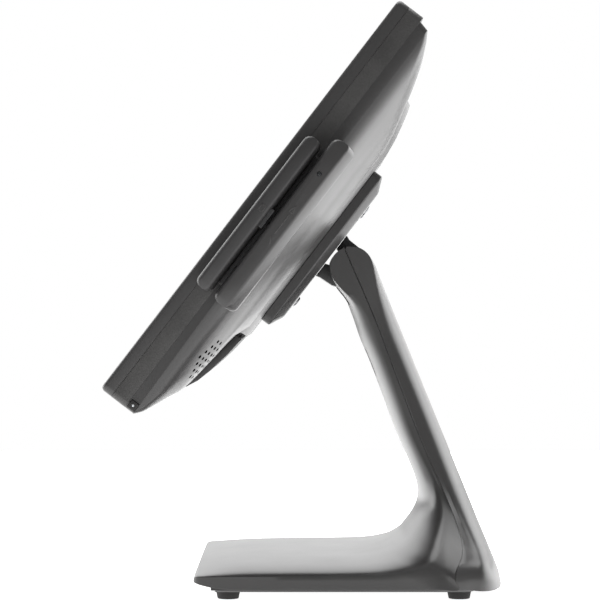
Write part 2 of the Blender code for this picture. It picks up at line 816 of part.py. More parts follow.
def plan_stack(name, levels, look):
    """Rounded rectangles lying in X and Y. A level is (z, half width, front y, rear y, corner), in mm."""
    rings = []
    for z, half, front, rear, corner in levels:
        ring = rounded_rectangle(half * mm, (rear - front) / 2 * mm, corner * mm)
        rings.append([(x, (front + rear) / 2 * mm + y, z * mm) for x, y in ring])
    return skin(name, rings, look, TERMINAL, caps=(True, True))


def base_parts():
    tray = plan_stack("base_tray", [(6, 103, -57, 110, 8), (9, 108.5, -62, 112, 10)], CASE)
    flange = plan_stack("tray_flange", [(8.5, 117, -63.8, 93, 8), (10.9, 117, -63.8, 93, 8)], None)
    merge(tray, flange)
    plan_stack("base_weight", [(11.2, 105, -55, 70, 4), (14.2, 105, -55, 70, 4)], BLACK_STEEL)
    places = ((-84, -45.8), (84, -45.8), (-84, 101.4), (84, 101.4))
    for i, (x, y) in enumerate(places, 1):
        place = (x * mm, y * mm)
        cylinder(f"foot_{i}", FOOT_TIP_R, (0, FOOT_H - GAP), RUBBER, TERMINAL, place, "Z", tip=FOOT_R)
    for i, (x, y) in enumerate(((-60, -20), (60, -20), (-60, 82), (60, 82)), 1):
        place = (x * mm, y * mm)
        cylinder(f"base_screw_{i}", 3 * mm, (4.2 * mm, 5.7 * mm), STEEL, TERMINAL, place, "Z", 16, tip=3.6 * mm)


def upright_frame():
    """The bent steel strip inside the arm, with a fork for the hinge."""
    scale = [(y * mm, z * mm) for y, z in UPRIGHT]
    frame = prism("upright_frame", scale, (-27.9 * mm, 27.9 * mm), BLACK_STEEL, TERMINAL)
    axis = (AXIS_Y, AXIS_Z)
    head = [(x * mm, z * mm) for x, z in ((52.5, 186), (54, 174), (41.5, 174), (37.5, 186))]
    head += list(reversed(ring_arc(10.5 * mm, -20, 200, 14, axis)))
    for side, name in ((-1, "cheek_left"), (1, "cheek_right")):
        ends = sorted((side * 24.9 * mm, side * 27.9 * mm))
        merge(frame, prism(name, head, ends, None, TERMINAL))
    bore = cylinder("frame_bore", SHAFT_R + GAP, (-40 * mm, 40 * mm), None, TERMINAL, axis, collection=CUTTERS)
    cut(frame, bore)
    return frame


UPRIGHT = [
    (72, 11.2),
    (112, 11.2),
    (112, 13.7),
    (105, 13.7),
    (97.8, 57.6),
    (80.4, 105.6),
    (50.2, 180.6),
    (47.4, 179.4),
    (77.6, 104.4),
    (94.9, 56.6),
    (102, 13.7),
    (72, 13.7),
]


front_bezel()
touch_glass()
mid_frame()
rear_cover()
power_button()
cable_cover()
system_cover()
lcd_parts()
electronics()
card_reader()
mounting_plate()
hinge_bracket()
hinge_hardware()
front_shell()
rear_shell()
base_parts()
upright_frame()
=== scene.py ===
"""Looks of the countertop touchscreen terminal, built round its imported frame."""

import math

import bpy
from mathutils import Matrix, Vector


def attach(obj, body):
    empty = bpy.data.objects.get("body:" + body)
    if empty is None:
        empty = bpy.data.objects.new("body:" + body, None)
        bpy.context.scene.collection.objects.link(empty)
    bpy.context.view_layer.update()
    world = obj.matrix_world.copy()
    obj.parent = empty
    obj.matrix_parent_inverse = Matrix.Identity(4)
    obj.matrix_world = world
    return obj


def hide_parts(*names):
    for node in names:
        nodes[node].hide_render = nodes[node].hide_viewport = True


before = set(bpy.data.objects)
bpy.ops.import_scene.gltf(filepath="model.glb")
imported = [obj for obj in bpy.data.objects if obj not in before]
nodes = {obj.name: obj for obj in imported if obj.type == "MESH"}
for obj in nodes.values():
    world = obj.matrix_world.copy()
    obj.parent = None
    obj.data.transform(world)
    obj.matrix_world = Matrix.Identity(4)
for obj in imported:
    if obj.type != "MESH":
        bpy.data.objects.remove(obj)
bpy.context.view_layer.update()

MM = 0.001

# Placing: the head is drawn upright round the tilt axis, and the stand round its own middle plane
TILT_AXIS = (-12.5, 27.0, 211.2)
RECLINE = math.radians(37.5)
STAND_MIDDLE = (-12.5, -6.6, 0)
HINGE_Y, HINGE_Z = TILT_AXIS[1] - STAND_MIDDLE[1], TILT_AXIS[2]  # the tilt axis in the stand's drawing
GLASS_AHEAD = 76.5  # the glass lies this far ahead of the tilt axis
HEAD_DATUM = -151.0  # heights on the head start here, 1.5 mm over its lower edge
HEAD_MIDDLE = -5.0
HEAD_W, HEAD_H, HEAD_CORNER = 360, 295, 4.5

HEAD_PLACE = (
    Matrix.Translation(Vector(TILT_AXIS) * MM) @ Matrix.Rotation(-RECLINE, 4, "X") @ Matrix.Scale(MM, 4)
)
STAND_PLACE = Matrix.Translation(Vector(STAND_MIDDLE) * MM) @ Matrix.Scale(MM, 4)


# Modelling helpers. Everything is drawn in mm, and put in place at the end


def deselect():
    if bpy.context.object and bpy.context.object.mode != "OBJECT":
        bpy.ops.object.mode_set(mode="OBJECT")
    bpy.ops.object.select_all(action="DESELECT")


def pick(obj):
    """Makes one piece the selected and active one."""
    deselect()
    obj.select_set(True)
    bpy.context.view_layer.objects.active = obj


def name_piece(name):
    """Names the primitive that was just added."""
    made = bpy.context.object
    made.name = made.data.name = name
    return made


def apply_modifiers(obj):
    pick(obj)
    for modifier in list(obj.modifiers):
        bpy.ops.object.modifier_apply(modifier=modifier.name)


def edit(obj, *steps):
    """Runs edit-mode steps on all of a piece."""
    pick(obj)
    bpy.ops.object.mode_set(mode="EDIT")
    bpy.ops.mesh.select_all(action="SELECT")
    for step in steps:
        step()
    bpy.ops.object.mode_set(mode="OBJECT")


def merge_doubles(distance=0.002):
    bpy.ops.mesh.remove_doubles(threshold=distance)


def face_outwards():
    bpy.ops.mesh.normals_make_consistent(inside=False)


def loft(name, rings, closed=False, caps=(True, True)):
    """A skin through rings of equally many points. closed joins the last ring to the first."""
    count = len(rings[0])
    points = [p for ring in rings for p in ring]
    faces = []
    spans = len(rings) if closed else len(rings) - 1
    for k in range(spans):
        low, high = k * count, (k + 1) % len(rings) * count
        for i in range(count):
            j = (i + 1) % count
            faces.append((low + i, low + j, high + j, high + i))
    if not closed:
        if caps[0]:
            faces.append(tuple(reversed(range(count))))
        if caps[1]:
            faces.append(tuple(range(len(points) - count, len(points))))
    mesh = bpy.data.meshes.new(name)
    mesh.from_pydata(points, [], faces)
    mesh.validate()
    made = bpy.data.objects.new(name, mesh)
    bpy.context.scene.collection.objects.link(made)
    edit(made, merge_doubles, face_outwards)
    return made


def bevel(obj, width, segments=3, angle=35, profile=0.5):
    """Rounds every edge that turns by more than the angle."""
    rounding = obj.modifiers.new("rounding", "BEVEL")
    rounding.width = width
    rounding.segments = segments
    rounding.limit_method = "ANGLE"
    rounding.angle_limit = math.radians(angle)
    rounding.profile = profile
    rounding.harden_normals = False
    apply_modifiers(obj)
    return obj


def carve(obj, *cutters, operation="DIFFERENCE", folded=False):
    """Cuts one piece with others. folded is for a piece whose own skin touches itself."""
    for cutter in cutters:
        cutting = obj.modifiers.new("carve", "BOOLEAN")
        cutting.operation = operation
        cutting.solver = "EXACT"
        cutting.use_self = folded
        cutting.object = cutter
        apply_modifiers(obj)
        bpy.data.objects.remove(cutter)
    return obj


def join(pieces):
    """Joins pieces into the first of them."""
    deselect()
    for piece in pieces:
        piece.select_set(True)
    bpy.context.view_layer.objects.active = pieces[0]
    bpy.ops.object.join()
    return pieces[0]


def shade(obj, angle=30):
    pick(obj)
    bpy.ops.object.shade_smooth_by_angle(angle=math.radians(angle))
    return obj


def block(name, low, high, rounding=0.0, segments=3):
    """A cube primitive between two corners, in mm."""
    deselect()
    middle = [(a + b) / 2 for a, b in zip(low, high)]
    bpy.ops.mesh.primitive_cube_add(size=1, location=middle, scale=[b - a for a, b in zip(low, high)])
    made = name_piece(name)
    bpy.ops.object.transform_apply()
    if rounding:
        bevel(made, rounding, segments)
    return made


TURNS = {"X": (0, math.pi / 2, 0), "Y": (-math.pi / 2, 0, 0), "Z": (0, 0, 0)}


def rod(name, radius, start, length, axis="Z", sides=48):
    """A cylinder primitive that starts at a point and runs along an axis."""
    deselect()
    middle = list(start)
    middle["XYZ".index(axis)] += length / 2
    bpy.ops.mesh.primitive_cylinder_add(
        vertices=sides, radius=radius, depth=length, location=middle, rotation=TURNS[axis]
    )
    made = name_piece(name)
    bpy.ops.object.transform_apply()
    return made


def inset_end(obj, axis, side, *moves):
    """Insets the end face on one side of an axis and moves it, once for each (inset, shift) pair."""
    pick(obj)
    bpy.ops.object.mode_set(mode="EDIT")
    bpy.ops.mesh.select_all(action="DESELECT")
    bpy.ops.mesh.select_mode(type="FACE")
    bpy.ops.object.mode_set(mode="OBJECT")
    index = "XYZ".index(axis)
    furthest = max(face.center[index] * side for face in obj.data.polygons)
    for face in obj.data.polygons:
        face.select = abs(face.center[index] * side - furthest) < 0.001
    bpy.ops.object.mode_set(mode="EDIT")
    for width, shift in moves:
        bpy.ops.mesh.inset(thickness=width, depth=0)
        step = [0, 0, 0]
        step[index] = shift * side
        bpy.ops.transform.translate(value=step)
    bpy.ops.object.mode_set(mode="OBJECT")
    return obj


def copy_node(name, node, inverse):
    """A merged copy of a CAD node, back in the frame that it was drawn in, in mm."""
    source = nodes[node]
    made = bpy.data.objects.new(name, source.data.copy())
    bpy.context.scene.collection.objects.link(made)
    made.data.transform(inverse)
    made.data.materials.clear()
    edit(made, merge_doubles, lambda: bpy.ops.mesh.dissolve_limited(angle_limit=math.radians(1)))
    return made


def settle(obj, place, body, look, slot, *replaced, angle=30):
    """Puts a finished piece in place, gives it its finish and hangs it on its body."""
    shade(obj, angle)
    obj.data.transform(place)
    obj.data.materials.clear()
    obj.data.materials.append(look)
    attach(obj, body)
    if replaced:
        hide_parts(*replaced)
    return obj


def rounded_rectangle(half_x, half_z, radius, steps=10):
    """The (x, z) points of an outline with round corners."""
    points = []
    for quarter in range(4):
        side_x = 1 if quarter in (0, 3) else -1
        side_z = 1 if quarter in (0, 1) else -1
        for i in range(steps + 1):
            angle = math.pi / 2 * (quarter + i / steps)
            x = side_x * (half_x - radius) + radius * math.cos(angle)
            z = side_z * (half_z - radius) + radius * math.sin(angle)
            points.append((x, z))
    return points


def smooth_rows(rows, steps, first=0):
    """Puts steps - 1 new rows between each pair of rows, on a smooth curve.

    Rows before first stay as they are.
    """
    made = list(rows[:first])
    rows = rows[first:]
    span = [math.dist(a, b) or 1.0 for a, b in zip(rows, rows[1:])]
    slopes = []
    for i in range(len(rows)):
        if i in (0, len(rows) - 1):
            a, b, run = (rows[0], rows[1], span[0]) if i == 0 else (rows[-2], rows[-1], span[-1])
            slopes.append([(q - p) / run for p, q in zip(a, b)])
            continue
        before, after = span[i - 1], span[i]
        slope = []
        for p, q, r in zip(rows[i - 1], rows[i], rows[i + 1]):
            in_slope, out_slope = (q - p) / before, (r - q) / after
            slope.append((in_slope * after + out_slope * before) / (before + after))
        slopes.append(slope)
    for i, run in enumerate(span):
        for step in range(steps):
            t = step / steps
            a, b = (1 + 2 * t) * (1 - t) ** 2, t * (1 - t) ** 2
            c, d = t * t * (3 - 2 * t), t * t * (t - 1)
            parts = zip(rows[i], rows[i + 1], slopes[i], slopes[i + 1])
            made.append(tuple(a * p + c * q + run * (b * m + d * n) for p, q, m, n in parts))
    made.append(tuple(rows[-1]))
    return made


def depth(behind_front):
    """The head's y for a distance behind the front of the glass."""
    return behind_front - GLASS_AHEAD


def height(up):
    """The head's z for a distance up the screen from the head's datum."""
    return HEAD_DATUM + up


def head_ring(half_x, half_z, radius, back, middle=HEAD_MIDDLE):
    """A contour of the head, parallel to the glass."""
    return [(x, depth(back), middle + z) for x, z in rounded_rectangle(half_x, half_z, radius)]


# Materials


def new_group(name, inputs, outputs):
    """An empty node group with its sockets, and its input and output nodes."""
    tree = bpy.data.node_groups.new(name, "ShaderNodeTree")
    for title, kind, value in inputs:
        socket = tree.interface.new_socket(title, in_out="INPUT", socket_type=kind)
        if value is not None:
            socket.default_value = value
    for title, kind in outputs:
        tree.interface.new_socket(title, in_out="OUTPUT", socket_type=kind)
    return tree, tree.nodes.new("NodeGroupInput"), tree.nodes.new("NodeGroupOutput")


def add_node(tree, kind, settings=(), inputs=()):
    """Adds a node. An input is a value, or an output to link to it."""
    node = tree.nodes.new(kind)
    for key, value in dict(settings).items():
        setattr(node, key, value)
    for key, value in dict(inputs).items():
        if hasattr(value, "is_output"):
            tree.links.new(value, node.inputs[key])
        else:
            node.inputs[key].default_value = value
    return node


def sum_up(tree, operation, *values):
    """The result of a math node on up to three values or outputs."""
    node = add_node(tree, "ShaderNodeMath", {"operation": operation}, dict(enumerate(values)))
    return node.outputs[0]


def ramp(tree, value, low, high, start=0.0, stop=1.0):
    """Maps a value from low..high onto start..stop, and keeps it inside."""
    made = add_node(
        tree,
        "ShaderNodeMapRange",
        {"clamp": True},
        {"Value": value, "From Min": low, "From Max": high, "To Min": start, "To Max": stop},
    )
    return made.outputs["Result"]


def moulded_grain():
    """Spark-eroded mould texture: a fine height, and slow drifts of shade and gloss."""
    tree, ins, outs = new_group(
        "moulded_grain",
        [
            ("Grain Size", "NodeSocketFloat", 0.0006),
            ("Shade", "NodeSocketColor", None),
            ("Shade Drift", "NodeSocketFloat", 0.1),
            ("Roughness", "NodeSocketFloat", 0.4),
            ("Roughness Drift", "NodeSocketFloat", 0.05),
        ],
        [("Color", "NodeSocketColor"), ("Roughness", "NodeSocketFloat"), ("Height", "NodeSocketFloat")],
    )
    place = add_node(tree, "ShaderNodeTexCoord").outputs["Object"]
    pitch = sum_up(tree, "DIVIDE", 1.0, ins.outputs["Grain Size"])
    fine = add_node(
        tree, "ShaderNodeTexNoise", (), {"Vector": place, "Scale": pitch, "Detail": 3.0, "Roughness": 0.6}
    ).outputs["Fac"]
    slow = add_node(
        tree, "ShaderNodeTexNoise", (), {"Vector": place, "Scale": 35.0, "Detail": 4.0, "Roughness": 0.55}
    ).outputs["Fac"]
    fine_share = sum_up(tree, "MULTIPLY_ADD", fine, 0.6, -0.3)
    slow_share = sum_up(tree, "MULTIPLY_ADD", slow, 1.0, -0.5)
    drift = sum_up(tree, "ADD", fine_share, slow_share)
    amount = sum_up(tree, "MULTIPLY_ADD", drift, ins.outputs["Shade Drift"], 1.0)
    colour = add_node(
        tree, "ShaderNodeVectorMath", {"operation": "SCALE"}, {0: ins.outputs["Shade"], "Scale": amount}
    ).outputs[0]
    rough = sum_up(
        tree, "MULTIPLY_ADD", drift, ins.outputs["Roughness Drift"], ins.outputs["Roughness"]
    )
    tree.links.new(colour, outs.inputs["Color"])
    tree.links.new(rough, outs.inputs["Roughness"])
    tree.links.new(fine, outs.inputs["Height"])
    return tree


GRAIN = moulded_grain()


def start_material(name):
    made = bpy.data.materials.new(name)
    made.use_nodes = True
    tree = made.node_tree
    return made, tree, tree.nodes["Principled BSDF"]


def grained(
    name,
    colour,
    roughness,
    size=0.0006,
    bump=0.15,
    depth_m=0.00004,
    drift=0.12,
    gloss_drift=0.06,
    metallic=0.0,
    mirror=0.5,
):
    """A moulded, coated or cast finish: the grain group with this finish's own values."""
    made, tree, shader = start_material(name)
    grain = add_node(
        tree,
        "ShaderNodeGroup",
        {"node_tree": GRAIN},
        {
            "Grain Size": size,
            "Shade": (*colour, 1),
            "Shade Drift": drift,
            "Roughness": roughness,
            "Roughness Drift": gloss_drift,
        },
    )
    relief = add_node(
        tree, "ShaderNodeBump", (), {"Height": grain.outputs["Height"], "Strength": bump, "Distance": depth_m}
    )
    tree.links.new(grain.outputs["Color"], shader.inputs["Base Color"])
    tree.links.new(grain.outputs["Roughness"], shader.inputs["Roughness"])
    tree.links.new(relief.outputs["Normal"], shader.inputs["Normal"])
    shader.inputs["Metallic"].default_value = metallic
    shader.inputs["Specular IOR Level"].default_value = mirror
    return made


case_satin = grained("case_satin", (0.046, 0.0447, 0.0447), 0.34, size=0.0005, bump=0.25)
case_dark = grained("case_dark", (0.033, 0.032, 0.0323), 0.46, size=0.0005, bump=0.2)
band_grain = grained(
    "band_grain", (0.056, 0.0545, 0.0537), 0.45, size=0.0011, bump=0.8, depth_m=0.00016, drift=0.9
)
stand_coat = grained("stand_coat", (0.05, 0.0487, 0.0483), 0.34, size=0.00045, bump=0.3, drift=0.2)
powder_black = grained("powder_black", (0.03, 0.03, 0.031), 0.42, size=0.0009, bump=0.5, depth_m=0.0001)
rubber_black = grained("rubber_black", (0.024, 0.023, 0.023), 0.72, size=0.0007, bump=0.5, depth_m=0.0001)
plated_steel = grained("plated_steel", (0.36, 0.36, 0.37), 0.3, size=0.0004, bump=0.1, metallic=1.0)
cast_alloy = grained("cast_alloy", (0.55, 0.55, 0.56), 0.42, size=0.0008, bump=0.3, metallic=1.0)
solder_mask = grained("solder_mask", (0.015, 0.1, 0.04), 0.4, size=0.002, bump=0.2, drift=0.6)
# painted shade: near black with no reflection, for the sheet that stands in for the shade inside the sound
# holes
hole_shade_black = grained("hole_shade_black", (0.002, 0.002, 0.002), 0.9, size=0.0004, bump=0.4, mirror=0.0)
smoky_lens = grained("smoky_lens", (0.02, 0.022, 0.024), 0.12, size=0.0006, bump=0.05, gloss_drift=0.02)
frosted_pipe = grained("frosted_pipe", (0.6, 0.62, 0.64), 0.35, size=0.0006, bump=0.2)


DISPLAY_HALF = {"X": 0.1525, "Z": 0.1145}  # half the lit area, in metres
PRINT_BLUR = 0.0002


def screen_glass_material():
    """Black glass: a printed border round a slightly lighter display, and faint wipe marks in the gloss."""
    made, tree, shader = start_material("screen_glass")
    place = add_node(tree, "ShaderNodeTexCoord").outputs["Object"]
    level = add_node(
        tree,
        "ShaderNodeMapping",
        {"vector_type": "TEXTURE"},
        {
            "Vector": place,
            "Location": HEAD_PLACE @ Vector((0, 0, HEAD_MIDDLE)),
            "Rotation": (-RECLINE, 0, 0),
        },
    ).outputs["Vector"]
    parts = add_node(tree, "ShaderNodeSeparateXYZ", (), {"Vector": level})
    masks = []
    for axis, half in DISPLAY_HALF.items():
        size = sum_up(tree, "ABSOLUTE", parts.outputs[axis])
        masks.append(ramp(tree, size, half - PRINT_BLUR, half + PRINT_BLUR, 1.0, 0.0))
    inside = sum_up(tree, "MULTIPLY", *masks)
    colour = add_node(
        tree,
        "ShaderNodeMix",
        {"data_type": "RGBA"},
        {"Factor": inside, 6: (0.004, 0.004, 0.0045, 1), 7: (0.013, 0.014, 0.017, 1)},
    ).outputs[2]
    wipes = add_node(
        tree, "ShaderNodeTexNoise", (), {"Vector": level, "Scale": 14.0, "Detail": 5.0, "Distortion": 0.6}
    ).outputs["Fac"]
    tree.links.new(colour, shader.inputs["Base Color"])
    tree.links.new(ramp(tree, wipes, 0.35, 0.7, 0.05, 0.11), shader.inputs["Roughness"])
    return made


def panel_material():
    """Brushed sheet: lines along X in the height and the gloss."""
    made, tree, shader = start_material("panel_sheet")
    place = add_node(tree, "ShaderNodeTexCoord").outputs["Object"]
    stretched = add_node(
        tree, "ShaderNodeMapping", (), {"Vector": place, "Scale": (30.0, 1600.0, 1600.0)}
    ).outputs["Vector"]
    lines = add_node(tree, "ShaderNodeTexNoise", (), {"Vector": stretched, "Scale": 1.0, "Detail": 2.0})
    tree.links.new(ramp(tree, lines.outputs["Fac"], 0.3, 0.7, 0.28, 0.46), shader.inputs["Roughness"])
    relief = add_node(
        tree,
        "ShaderNodeBump",
        (),
        {"Height": lines.outputs["Fac"], "Strength": 0.15, "Distance": 0.00003},
    )
    tree.links.new(relief.outputs["Normal"], shader.inputs["Normal"])
    shader.inputs["Base Color"].default_value = (0.5, 0.51, 0.52, 1)
    shader.inputs["Metallic"].default_value = 0.9
    return made


screen_glass = screen_glass_material()
panel_sheet = panel_material()


# Stand

WALL, LIP = 2.5, 1.4  # the shells' thickness in the middle and at the crown's edge
SEAM_GAP, SEAM_CHAMFER = 0.18, 0.4
SLOT_HALF = 24.6  # half the width of the opening for the hinge
CABLE_SLIT_X, CABLE_SLIT_HALF = 11.1, 2.9
TRAY_EDGE, TRAY_SHIFT = -56, 14  # the tray's front edge is drawn back, under the base's rising front
FOOT_X, FOOT_FRONT, FOOT_REAR = 84, -45.8, 101.4
FOOT_RADIUS, FOOT_HEIGHT, FOOT_FLARE = 6.7, 4.3, 1.14

# The seam between the shells, from the counter up: y, z and half width
SEAM = [
    (99.5, 9.2, 119),
    (97, 15, 120),
    (97.2, 20, 118),
    (101.5, 28, 107),
    (102.5, 36, 92),
    (100.3, 46, 78),
    (95, 60.5, 66),
    (86, 81.5, 58),
    (76, 105.5, 52.5),
    (66.7, 130, 49.5),
    (58.5, 152, 47),
    (51.9, 170, 45.6),
    (46.2, 184, 45),
    (41.5, 195, 45),
    (37.5, 204, 45),
    (34.6, 210.5, 45),
    (32.3, 216, 45),
    (30.5, 220.2, 45),
    (29.3, 222.6, 45),
]
# At each seam point, a shell's middle (y, z), its edge (y, z) and the edge's half width
FRONT = [
    (60, 30.4, 80, 22.5, 118.5),
    (66.5, 34.5, 84.5, 26.5, 115),
    (71, 40.3, 88.5, 31.2, 106),
    (75.3, 46.8, 91.5, 37.5, 93),
    (78.3, 53.5, 93.4, 45, 81),
    (79.3, 60, 94, 53, 72),
    (78, 69, 91.5, 64.5, 63),
    (72, 84.7, 83.5, 82, 57),
    (64.1, 102.9, 73.5, 102.5, 52),
    (55.2, 127, 64.3, 128.5, 49),
    (46.2, 150.5, 56, 151, 46.8),
    (40, 165.2, 49, 168.5, 45.4),
    (35.5, 178.5, 41.5, 183.5, 45),
    (31, 189.5, 34.5, 190.5, 45),
    (24.5, 198.5, 25.6, 199, 45),
    (20.9, 205.3, 20.9, 205.3, 45),
    (19.8, 213.5, 19.8, 213.5, 45),
    (22.8, 220, 22.8, 220, 45),
    (28.9, 224.4, 28.9, 224.4, 45),
]
REAR = [
    (132.6, 5.2, 109, 8, 112),
    (130.8, 13, 110.6, 14, 113.5),
    (128.4, 19.2, 111.3, 20.3, 112),
    (125.4, 26.5, 111, 27, 102),
    (122, 35, 108.6, 35, 87.5),
    (117.5, 46, 104, 46, 74),
    (111.8, 60.3, 98.3, 60, 63),
    (103.3, 81.3, 90, 81.5, 56.5),
    (93.5, 105.5, 80.7, 105.5, 52),
    (83.7, 129.8, 70.8, 129.8, 49),
    (74.7, 152, 61.5, 152, 46.8),
    (67.4, 170, 54, 170.3, 45.4),
    (61.7, 184, 50.8, 184, 45),
    (57.3, 195, 48.8, 196, 45),
    (53.4, 204.5, 48.2, 205.5, 45),
    (49.6, 213.8, 47.4, 213, 45),
    (45.5, 218.8, 45.2, 219, 45),
    (39, 224, 39, 224, 45),
    (30.4, 224.95, 30.4, 224.95, 45),
]
# The base ahead of the seam: middle (y, z), edge (y, z), half width, lower edge (y, z, half width)
FOOTBOARD = [
    (-61, 19.2, -61, 17.2, 120, -61, 11.9, 120),
    (-52, 20.9, -52, 17.3, 120, -52, 10, 120),
    (-41, 22.5, -41, 17.3, 120, -41, 9.2, 120),
    (-10, 24.2, -10, 17.3, 120, -10, 9.2, 120),
    (28, 25, 36, 17.4, 120, 42, 9.2, 120),
    (44, 26, 58, 18, 120, 68, 9.2, 120),
    (53, 27.8, 70, 19.7, 120, 86, 9.2, 120),
]
BOARD_FRONT = -66.7
BOARD_HALF = FOOTBOARD[0][4]
CROWN_STEPS = 18
SIDE_STEPS = 4


def crown(middle, edge, half):
    """Half a cross-section from the middle to the edge, which it meets square on."""
    points = []
    for i in range(CROWN_STEPS + 1):
        angle = math.pi / 2 * i / CROWN_STEPS
        fall = math.cos(angle) ** 0.9 if i < CROWN_STEPS else 0.0
        x = half * math.sin(angle) ** 0.9
        points.append((x, edge[0] + (middle[0] - edge[0]) * fall, edge[1] + (middle[1] - edge[1]) * fall))
    return points


def side_strip(edge, seam):
    """Points down the side from the crown's edge to the seam, which has a fine chamfer."""
    edge, seam = Vector(edge), Vector(seam)
    run = seam - edge
    if run.length < 0.01:
        return [tuple(seam)] * SIDE_STEPS
    chamfer = min(SEAM_CHAMFER, run.length * 0.3)
    near = seam - run.normalized() * chamfer
    points = [edge.lerp(near, i / (SIDE_STEPS - 1)) for i in range(1, SIDE_STEPS)]
    turned_in = seam - Vector((chamfer * 0.8, 0, 0))
    return [tuple(p) for p in points] + [tuple(turned_in)]


def shell_section(row, inward):
    """A closed section of a shell: out along the skin, back along its inner face."""
    middle, edge, half, seam = row[:2], row[2:4], row[4], (row[7], row[5], row[6])
    outer = crown(middle, edge, half)
    outer += side_strip(outer[-1], seam)
    deep = (middle[0] + WALL * inward[0], middle[1] + WALL * inward[1])
    lip = (edge[0] + LIP * inward[0], edge[1] + LIP * inward[1])
    inner = crown(deep, lip, half - WALL)
    inner.append((seam[0] - WALL, max(seam[1], BOARD_FRONT + WALL), seam[2]))
    left = [(-x, y, z) for x, y, z in outer]
    back = [(-x, y, z) for x, y, z in reversed(inner)]
    return list(reversed(outer)) + left[1:] + back + inner[1:]


def inward_normals(rows, side):
    """For each row, the direction from the skin's middle into the shell."""
    normals = []
    for i in range(len(rows)):
        before, after = rows[max(i - 1, 0)], rows[min(i + 1, len(rows) - 1)]
        step = Vector((after[0] - before[0], after[1] - before[1])).normalized()
        normals.append((side * step[1], -side * step[0]))
    return normals


def board_front_rows():
    """The base's front wall, and the round over its top edge and corners.

    Its lower edge rises towards the front.
    """
    radius, top, corner = 2.4, 18.35, 6.5
    half, low = BOARD_HALF - corner, 13.6
    edge_drop, low_slope = 1.1, 0.3
    rows = [(BOARD_FRONT, low, BOARD_FRONT, low, half, BOARD_FRONT, low, half)]
    steps = 6
    for i in range(steps + 1):
        angle = math.pi / 2 * i / steps
        run = radius * (1 - math.cos(angle))
        rise = radius * (1 - math.sin(angle))
        y, x = BOARD_FRONT + run, half + math.sqrt(corner**2 - (corner - run) ** 2)
        rows.append((y, top - rise, y, top - edge_drop - rise, x, y, low - low_slope * run, x))
    run = 4.2
    y, x = BOARD_FRONT + run, half + math.sqrt(corner**2 - (corner - run) ** 2)
    rows.append((y, 18.8, y, 17.25, x, y, 12.3, x))
    return rows


def front_shell():
    """The base's top and the arm's front in one skin, open round the hinge, with two cable slits."""
    rows = FOOTBOARD + [(*f, *s) for f, s in zip(FRONT, SEAM)]
    rows = board_front_rows() + smooth_rows(rows, 5)[1:]
    rings = [shell_section(row, normal) for row, normal in zip(rows, inward_normals(rows, 1))]
    shell = loft("arm_front", rings)
    swing = rod("swing", 18.4, (-SLOT_HALF, HINGE_Y, HINGE_Z), 2 * SLOT_HALF, "X", 64)
    mouth = block("mouth", (-SLOT_HALF, 0, 186.8), (SLOT_HALF, 36, 202))
    slits = []
    for x in (-CABLE_SLIT_X, CABLE_SLIT_X):
        low, high = (x - CABLE_SLIT_HALF, 20, 139.5), (x + CABLE_SLIT_HALF, 60, 158)
        slits.append(block("slit", low, high, CABLE_SLIT_HALF - 0.05, 4))
    carve(shell, swing, mouth, *slits)
    return settle(shell, STAND_PLACE, "stand", stand_coat, "stand_coat", "stand_front_shell", angle=28)


def rear_shell():
    """The arm's back, from the counter up to the hinge, behind the seam."""
    rows = [(*r, y + SEAM_GAP, z, w) for r, (y, z, w) in zip(REAR, SEAM)]
    rows = smooth_rows(rows, 5)
    rings = [shell_section(row, normal) for row, normal in zip(rows, inward_normals(rows, -1))]
    shell = loft("arm_back", rings)
    swing = rod("swing", 14.8, (-SLOT_HALF, HINGE_Y, HINGE_Z), 2 * SLOT_HALF, "X", 64)
    mouth = block("mouth", (-SLOT_HALF, 20, 217.5), (SLOT_HALF, 60, 230))
    carve(shell, swing, mouth)
    return settle(shell, STAND_PLACE, "stand", stand_coat, "stand_coat", "stand_rear_shell", angle=28)


def foot_tray():
    """The tray that closes the base from below."""
    tray = copy_node("foot_tray", "base_tray", STAND_PLACE.inverted())
    for vertex in tray.data.vertices:
        if vertex.co.y < TRAY_EDGE:
            vertex.co.y += TRAY_SHIFT
    bevel(tray, 0.6, 2)
    settle(tray, STAND_PLACE, "stand", case_dark, "case_plastic", "base_tray")


def rubber_foot(number, x, y):
    """A tapered foot with a dished tip and a collar where it meets the tray."""
    foot = rod(f"rubber_foot_{number}", FOOT_RADIUS, (x, y, 0), FOOT_HEIGHT, "Z", 40)
    inset_end(foot, "Z", -1, (0.8, 0), (0.9, -0.7))
    for vertex in foot.data.vertices:
        if vertex.co.z > FOOT_HEIGHT - 0.3:
            vertex.co.x = x + (vertex.co.x - x) * FOOT_FLARE
            vertex.co.y = y + (vertex.co.y - y) * FOOT_FLARE
    inset_end(foot, "Z", 1, (-0.45, 0), (0.0001, 1.35))
    bevel(foot, 0.35, 2, 40)
    settle(foot, STAND_PLACE, "stand", rubber_black, "rubber", f"foot_{number}")


def stand_pieces():
    """All of the stand's pieces."""
    front_shell()
    rear_shell()
    foot_tray()
    corners = [(x, y) for y in (FOOT_FRONT, FOOT_REAR) for x in (-FOOT_X, FOOT_X)]
    for number, (x, y) in enumerate(corners, 1):
        rubber_foot(number, x, y)


# Head

BACK_WALL = 2.4
VENT_MIDDLES = (-125, -75, -25, 25, 75, 125)
VENT_HALF, VENT_LOW, VENT_HIGH = 22, 284.8, 288.2
BAY_HALF, BAY_LOW, BAY_HIGH = 98.3, 25.7, 72.3  # the opening that the socket lid closes
COVER_SIDE, COVER_SINK = 90, 3.2  # past this x, the service cover's sides sink into the dome
BUTTON_BACK, BUTTON_UP = 21.9, 2.6
LAMP_RADIUS, LAMP_X = 0.75, 181.2

